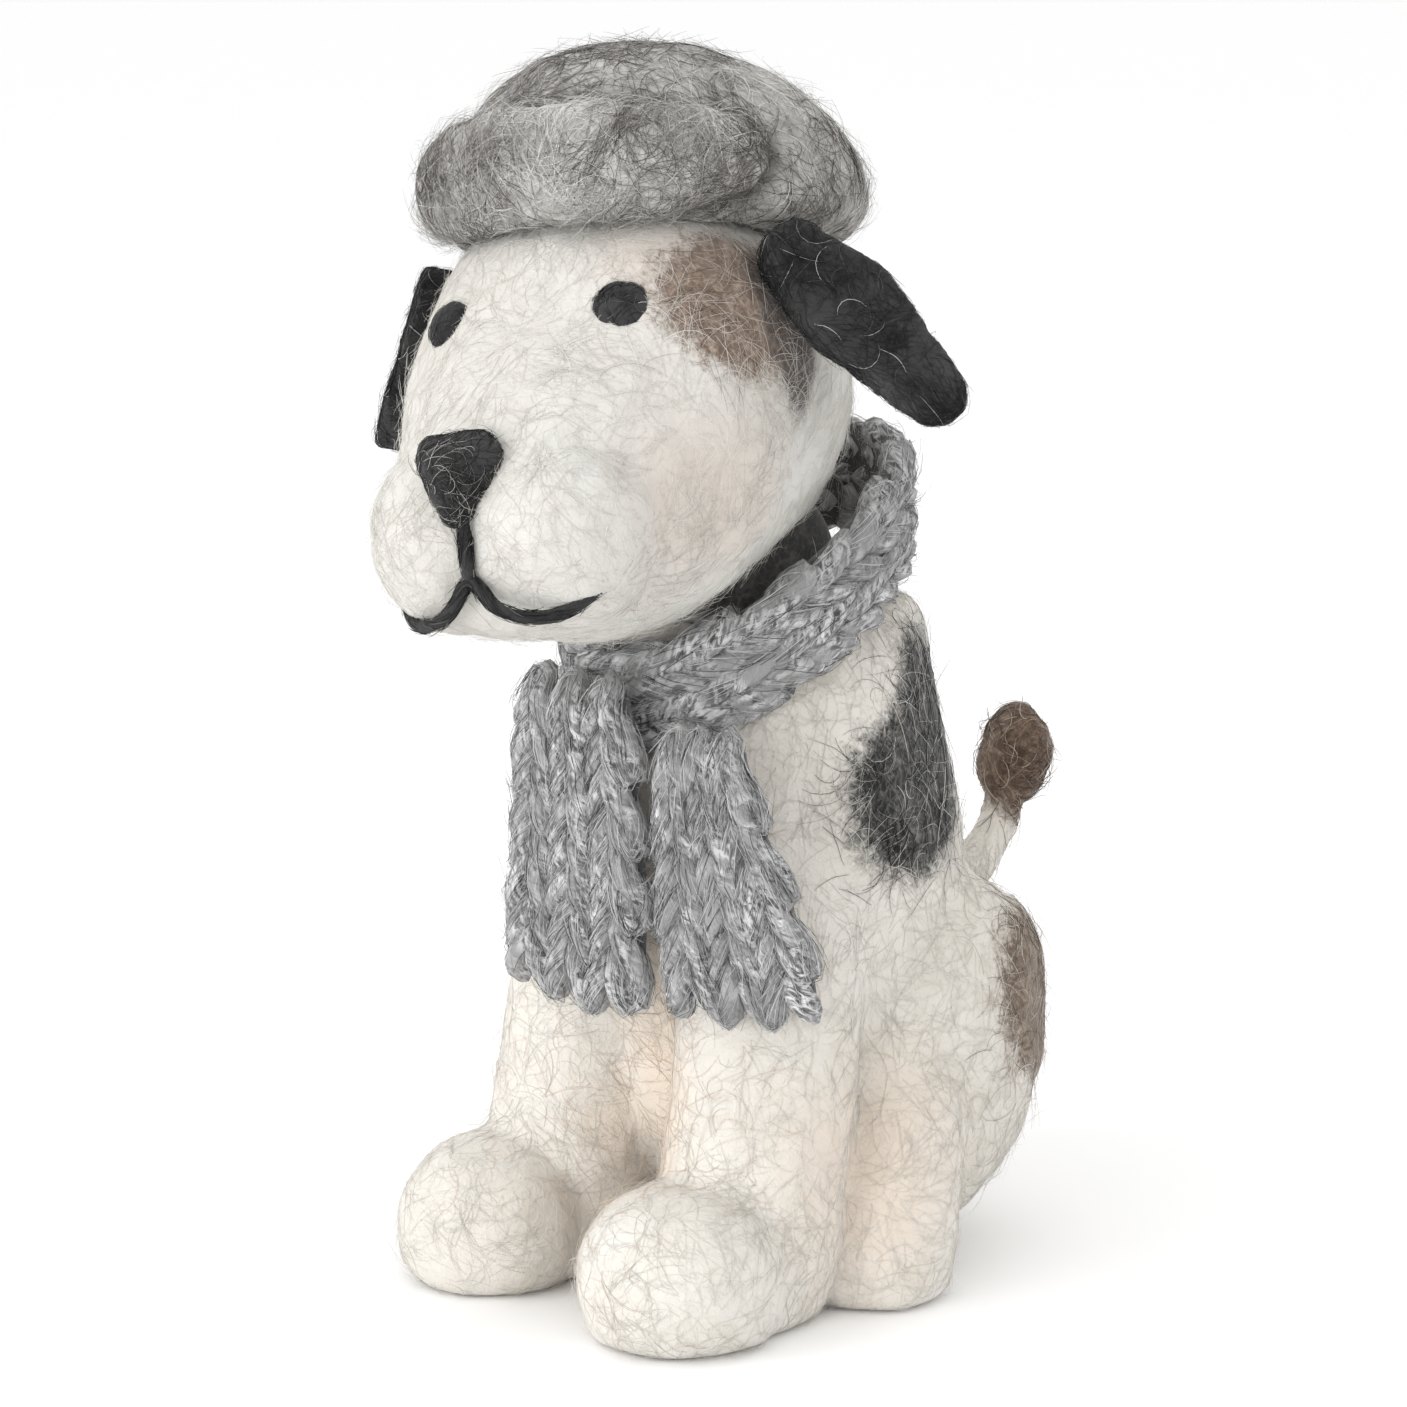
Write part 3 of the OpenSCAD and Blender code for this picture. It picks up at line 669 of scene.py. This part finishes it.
for j, (s, n, rad, lift) in enumerate(((S_cap, 4800, (0.000026, 0.000042), (0.02, 0.0012)), (S_cap, 4800, (0.000013, 0.000024), (0.5, 0.0018)),
                                       (S_peak, 2600, (0.000026, 0.000042), (0.02, 0.0012)), (S_peak, 4400, (0.000013, 0.000024), (0.6, 0.0020)))):
    fuzz("cap_fibres_%d" % (j + 1), s, k_of(n), (0.003, 0.008), rad, lift, ALL, grey_pick,
         "cap", 40 + j)
for j, (e, s) in enumerate(zip(ears, ("left", "right"))):
    fuzz("ear_fibres_" + s, surface(e), k_of(1800), (0.002, 0.006), (0.000016, 0.00003), (0.2, 0.0008), ALL,
         pick_of([4, 5, 6, 0], [7, 3, 0.35, 0.12]), "ear_" + s, 50 + j)
fuzz("nose_fibres", surface(nose), k_of(500), (0.002, 0.005), (0.00002, 0.00004), (0.15, 0.0010), ALL,
     pick_of([4, 5, 6, 12], [4, 3, 1, 0.8]), "head", 60)
for j, (e, s) in enumerate(zip(eyes, ("left", "right"))):
    fuzz("eye_fibres_" + s, surface(e), k_of(160), (0.001, 0.003), (0.00002, 0.00003), (0.1, 0.0006), ALL,
         pick_of([4, 5, 6], [5, 3, 0.6]), "head", 62 + j)
fuzz("tail_fibres", surface(tail), k_of(900), (0.002, 0.006), (0.00003, 0.00005), (0.2, 0.0018), ALL, pick_tail,
     "tail", 70)


# ------------------------------------------------------------------ knitted scarf and thread lines
def catmull(pts, k):
    pts = np.array(pts, float)
    n = len(pts)
    out = []
    for i in range(n - 1):
        a, b, c, d = pts[max(i - 1, 0)], pts[i], pts[i + 1], pts[min(i + 2, n - 1)]
        for j in range(k):
            t = j / k
            out.append(0.5 * (2 * b + (c - a) * t + (2 * a - 5 * b + 4 * c - d) * t * t + (3 * b - a - 3 * c + d) * t ** 3))
    out.append(pts[-1])
    return np.array(out)


EW = 8.5
END_L = [[15.2, -14, 67.5, 12, EW - 2.7], [16.6, -14.2, 60, 15, EW - 1.7], [18.8, -14.3, 52, 20, EW - 0.3],
         [20.8, -14, 44, 24, EW + 0.5], [22, -13.6, 38, 25, EW + 0.3]]
END_R = [[-2, -16.3, 72, -2, EW], [-1.9, -16.2, 62.5, -3, EW + 1.3], [-1.7, -16.2, 52, -4, EW + 2.4],
         [-1.9, -16.4, 43, -4, EW + 2.8], [-2.2, -16.4, 36.5, -4, EW + 2.4]]


def loop_at(u):
    """u in turns round the neck: centre, across, out and half width, in millimetres."""
    a = u * 2 * math.pi
    c, s = np.cos(a), np.sin(a)
    centre = np.stack([17.9 * c, 8.5 + 18.9 * s, 81.1 + 10.9 * s + 1.8 * c + 0.9 * c * c], -1)
    out = np.stack([c, s, 0 * c], -1)
    across = np.stack([0 * c, 0 * c, 1 + 0 * c], -1)
    return centre, across, out, 6.6 * (1 + 0.1 * c * c + 0.04 * s)


def end_at(rows_, v):
    """v in millimetres down the hanging end."""
    q = catmull(rows_, 8)
    d = np.concatenate([[0], np.cumsum(np.linalg.norm(np.diff(q[:, :3], axis=0), axis=1))])
    i = np.clip(np.searchsorted(d, v) - 1, 0, len(d) - 2)
    t = (v - d[i]) / (d[i + 1] - d[i])
    r = q[i] * (1 - t)[:, None] + q[i + 1] * t[:, None]
    th = np.radians(r[:, 3])
    across = np.stack([np.cos(th), np.sin(th), 0 * th], -1)
    out = np.stack([np.sin(th), -np.cos(th), 0 * th], -1)
    return r[:, :3], across, out, np.clip(r[:, 4], 4, 12)


def knit(courses, wales, pitch, seed, h=0.86, lean=0.05, d=0.85, per=16, flip=False):
    """Plain knit: every stitch a loop through the one before it; returns x in stitches, y in millimetres, out."""
    rng = np.random.default_rng(seed)
    X, Y, Z = [], [], []
    for k in range(courses):
        t = np.linspace(-math.pi, 2 * math.pi * wales - math.pi, per * wales + 1)[:-1]
        jx, jy = rng.normal(0, 0.035, wales + 1), rng.normal(0, 0.30, wales + 1)
        i = np.clip(((t + math.pi) / (2 * math.pi)), 0, wales)
        x = t / (2 * math.pi) - lean * np.sin(2 * t) + np.interp(i, np.arange(wales + 1), jx)
        y = k * pitch - h * pitch * np.cos(t) + np.interp(i, np.arange(wales + 1), jy)
        z = -d * np.cos(2 * t) + rng.normal(0, 0.10)
        x -= (wales - 1) / 2
        if k % 2 == 1:
            x, y, z = x[::-1], y[::-1], z[::-1]
        X.append(x)
        Y.append(y)
        Z.append(z)
    X, Y, Z = np.concatenate(X), np.concatenate(Y), np.concatenate(Z)
    ker = np.array([0.2, 0.6, 0.2])
    sm = lambda a: np.concatenate([a[:1], np.convolve(a, ker, "valid"), a[-1:]])
    return sm(X), sm(Y), sm(Z)


def yarn_frame(P, S):
    T = np.empty_like(P)
    T[1:-1] = P[2:] - P[:-2]
    T[0], T[-1] = P[1] - P[0], P[-1] - P[-2]
    T = unit(T)
    A = unit(np.cross(T, S))
    return T, A, np.cross(T, A)


def yarn_mesh(name, P, S, R, mat, seed, sides=10, twist=7.0, lobes=2, rough=0.10):
    """A fuzzy plied yarn along P, in metres, with its own length-and-turn map for the fibre streaks."""
    T, A, B = yarn_frame(P, S)
    s = np.concatenate([[0], np.cumsum(np.linalg.norm(np.diff(P, axis=0), axis=1))]) * 1000
    ang = np.arange(sides) * 2 * math.pi / sides
    rng = np.random.default_rng(seed)
    n = len(P)
    wob = rng.normal(0, rough, (n, sides))
    wob = (wob + np.roll(wob, 1, 0) + np.roll(wob, 1, 1)) / 2
    mod = 1 + 0.09 * np.cos(lobes * ang[None] - 2 * math.pi * s[:, None] / twist * lobes / 2) + wob
    taper = np.ones(n)
    taper[0] = taper[-1] = 0.35
    taper[1] = taper[-2] = 0.8
    rad = (np.full(n, R) * taper)[:, None] * mod
    V = P[:, None] + (A[:, None] * np.cos(ang)[None, :, None] + B[:, None] * np.sin(ang)[None, :, None]) * rad[..., None]
    j = np.arange(n - 1)[:, None] * sides
    i = np.arange(sides)[None]
    i2 = (i + 1) % sides
    q = np.stack([j + i, j + i2, j + sides + i2, j + sides + i], -1).reshape(-1, 4)
    loops = np.concatenate([q.ravel(), np.arange(sides)[::-1], (n - 1) * sides + np.arange(sides)])
    sizes = np.concatenate([np.full(len(q), 4), [sides, sides]])
    o = fast_mesh(name, V.reshape(-1, 3), loops, sizes)
    uv = o.data.uv_layers.new(name="yarn_map")
    su, sv = s[:, None] + 0 * i, (i / sides) + 0 * s[:, None]
    sn = s[1:, None] + 0 * i
    v0, v1 = i / sides + 0 * s[:-1, None], (i + 1) / sides + 0 * s[:-1, None]
    a0 = su[:-1]
    corner = np.stack([np.stack([a0, v0], -1), np.stack([a0, v1], -1), np.stack([sn, v1], -1), np.stack([sn, v0], -1)], 2)
    flat = np.concatenate([corner.reshape(-1, 2), np.zeros((sides * 2, 2))])
    if len(uv.data) == len(flat):
        uv.data.foreach_set("uv", flat.astype(np.float32).ravel())
    o.data.materials.append(mat)
    return o


def yarn_fibres(name, P, S, R, n, mats, pick, seed, length=(3, 8), lift=0.5, radius=(0.00003, 0.00005), seg=6, turn=0.9, hug=(0.98, 1.12)):
    """Fibres that run with the yarn, their ends standing off it."""
    rng = np.random.default_rng(seed)
    T, A, B = yarn_frame(P, S)
    # the frame may turn over between points
    s = np.concatenate([[0], np.cumsum(np.linalg.norm(np.diff(P, axis=0), axis=1))]) * 1000
    L = rng.uniform(length[0], length[1], n)
    s0 = rng.uniform(0, max(s[-1] - length[1], 0.1), n)
    phi = rng.uniform(0, 2 * math.pi, n)
    spin = rng.normal(turn, 0.5, n)
    loft_ = rng.uniform(0.1, 1, n) ** 2 * lift * 0.001
    ends = rng.random(n) < 0.5
    base = rng.uniform(hug[0], hug[1], n) * R
    P2 = np.empty((n, seg + 1, 3))
    N2 = np.empty((n, seg + 1, 3))
    for i in range(seg + 1):
        t = i / seg
        si = np.minimum(s0 + L * t, s[-1])
        at = lambda M: np.stack([np.interp(si, s, M[:, k]) for k in range(3)], -1)
        a, b = unit(at(A)), unit(at(B))
        ph = phi + spin * t
        d = a * np.cos(ph)[:, None] + b * np.sin(ph)[:, None]
        up = loft_ * np.where(ends, t ** 2, (1 - t) ** 2)
        P2[:, i] = at(P) + d * (base + up)[:, None]
        N2[:, i] = d
    prof = np.sin(np.linspace(0.14, 0.93, seg + 1) * math.pi) ** 0.5
    Rr = rng.uniform(radius[0], radius[1], n)[:, None] * prof[None]
    return tubes(name, P2, N2, Rr, mats, pick(P2[:, 0], rng))


def yarn_material(name, dark, mid, light):
    t = Tree(name)
    uvn = t.node("ShaderNodeUVMap")
    uvn.uv_map = "yarn_map"
    sep = t.node("ShaderNodeSeparateXYZ")
    t.link(uvn.outputs[0], sep.inputs[0])
    comb = t.node("ShaderNodeCombineXYZ")
    t.link(t.math("MULTIPLY", sep.outputs[0], 0.5), comb.inputs[0])
    t.link(t.math("ADD", t.math("MULTIPLY", sep.outputs[1], 7.0), t.math("MULTIPLY", sep.outputs[0], 0.5)), comb.inputs[1])
    streak = t.noise(1.6, 3, 0.7, 0.6, vec=comb.outputs[0])
    marl = t.noise(220, 3, 0.6, 0.8)
    fine = t.noise(2600, 2, 0.7)
    col = t.mix(t.ramp(streak, 0.38, 0.62), dark, light)
    col = t.mix(t.ramp(marl, 0.3, 0.72), col, mid)
    t.link(col, t.b.inputs["Base Color"])
    t.b.inputs["Roughness"].default_value = 0.95
    t.b.inputs["Specular IOR Level"].default_value = 0.12
    t.b.inputs["Sheen Weight"].default_value = 0.2
    t.bump(t.math("ADD", t.math("MULTIPLY", streak, 0.7), t.math("MULTIPLY", fine, 0.4)), 0.7, 0.0004)
    return t.m


YARN = yarn_material("yarn_marl", srgb(72, 72, 72), srgb(150, 150, 150), srgb(218, 218, 219))
# painted shade: a dark felt for the cloth behind the yarn, seen as shade in the gaps between stitches
CLOTH_SHADE = felt("knit_back_shade", srgb(34, 34, 34), srgb(56, 56, 56), srgb(84, 84, 84), bump=0.7, web=0.6)
Y1, Y2, Y3, Y4 = (plain("yarn_fibre_dark", srgb(62, 62, 62)), plain("yarn_fibre_mid", srgb(132, 132, 132)),
                  plain("yarn_fibre_light", srgb(176, 176, 177)), plain("yarn_fibre_pale", srgb(214, 214, 215)))
YF = [Y1, Y2, Y3, Y4]


def grid_sheet(name, centre, across, out, half, thick, closed, mat):
    """A thin cloth behind the yarn: a closed shell with cells along its two faces."""
    m = len(centre)
    cols = 8
    f = np.linspace(-1, 1, cols)
    front = centre[:, None] + across[:, None] * (f[None, :, None] * half[:, None, None]) + out[:, None] * thick / 2
    back = front - out[:, None] * thick
    ring = np.concatenate([front, back[:, ::-1]], 1)
    k = 2 * cols
    V = ring.reshape(-1, 3) * MM
    last = m if closed else m - 1
    Fs = []
    for j in range(last):
        a, b = j * k, ((j + 1) % m) * k
        for i in range(k):
            Fs.append((a + i, a + (i + 1) % k, b + (i + 1) % k, b + i))
    if not closed:
        for j, rev in ((0, True), (m - 1, False)):
            for i in range(cols - 1):
                q = (j * k + i, j * k + i + 1, j * k + k - 2 - i, j * k + k - 1 - i)
                Fs.append(q[::-1] if rev else q)
    o = new_mesh(name, V, Fs)
    o.data.materials.append(mat)
    o.data.shade_smooth()
    return o


shift = np.array([OX, OY, 0.0])
R_YARN = 0.00150


def scarf_piece(tag, node, body_name, courses, wales, seed, closed, mapper, fibres_n, half_edge, length, y0):
    pitch = length / courses if closed else length / (courses - 0.1)
    X, Y, Z = knit(courses, wales, pitch, seed)
    if closed:
        c, ac, out, hw = mapper(Y / length)
    else:
        c, ac, out, hw = mapper(Y + y0)
        Y = Y + 0.0
    across = X / (wales / 2) * (hw - half_edge)
    P = (c + shift + ac * across[:, None] + out * Z[:, None]) * MM
    yarn = yarn_mesh(tag + "_yarn", P, out, R_YARN, YARN, seed)
    parts = [yarn]
    halves = 2 if closed else 1
    n_each = k_of(fibres_n) // halves
    for j in range(halves):
        m = len(P) // halves
        sl = slice(j * m, (j + 1) * m + (0 if j == halves - 1 else 4))
        parts.append(yarn_fibres(tag + "_fibres_%d" % (j + 1), P[sl], out[sl], R_YARN, n_each, YF,
                                 pick_of([0, 1, 2, 3], [2.2, 2.2, 3.6, 2.6]), seed + 7 + j, lift=0.9))
    parts.append(yarn_fibres(tag + "_fuzz", P, out, R_YARN, k_of(fibres_n) // 4, YF,
                             pick_of([0, 1, 2, 3], [2, 3, 3, 2]), seed + 17, length=(2.0, 4.5), lift=2.6,
                             radius=(0.000014, 0.000024)))
    if closed:
        u = np.arange(72) / 72
        c, ac, out, hw = mapper(u)
    else:
        v = np.linspace(0.3, length - 1.2, 22)
        c, ac, out, hw = mapper(v)
    # the dark cloth behind the yarn is painted shade in the gaps between stitches
    back = grid_sheet(tag + "_cloth", c + shift - out * 0.6, ac, out, hw - 0.9, 1.2, closed, CLOTH_SHADE)
    for o in parts + [back]:
        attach(o, body_name)
    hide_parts(node)
    return parts, back


scarf_piece("scarf_loop", "scarf_loop", "body", 27, 2, 101, True, loop_at, 5200, 1.1, 124.0, 0)
scarf_piece("scarf_near", "scarf_end_left", "scarf_end_left", 7, 3, 131, False, lambda v: end_at(END_L, v),
            3600, 1.0, 28.5, 2.2)
scarf_piece("scarf_far", "scarf_end_right", "scarf_end_right", 8, 3, 151, False, lambda v: end_at(END_R, v),
            4000, 0.8, 33.5, 2.4)

# the mouth: black felting thread pressed into the muzzle
LIP = [[0, -51.8, 12.6], [0, -52.1, 9.4], [0, -52.1, 6.2]]
SMILE = [[0, -52, 6.2], [2.8, -52.2, 3.4], [6, -51.4, 1.9], [9.6, -49.2, 2], [13.2, -45.4, 4.4]]
full = [[-a, b, c] for a, b, c in SMILE[:0:-1]] + SMILE
for nm_, pts, node in (("muzzle_thread", LIP, "muzzle_line"), ("mouth_thread", full, "mouth_line")):
    P = np.array([face(p) for p in catmull(pts, 10)])
    S = np.tile(HEAD_R @ np.array([0, -1.0, 0]), (len(P), 1))
    th = yarn_mesh(nm_, P, S, 0.00070, BLACK_FELT, 7, sides=8, rough=0.05)
    fi = yarn_fibres(nm_ + "_fibres", P, S, 0.00070, k_of(60 if node == "muzzle_line" else 260), [B1, B2, B3],
                     pick_of([0, 1, 2], [6, 3, 0.5]), 8, length=(1.5, 4), lift=0.5, radius=(0.00003, 0.00005))
    for o in (th, fi):
        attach(o, "head")
    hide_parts(node)
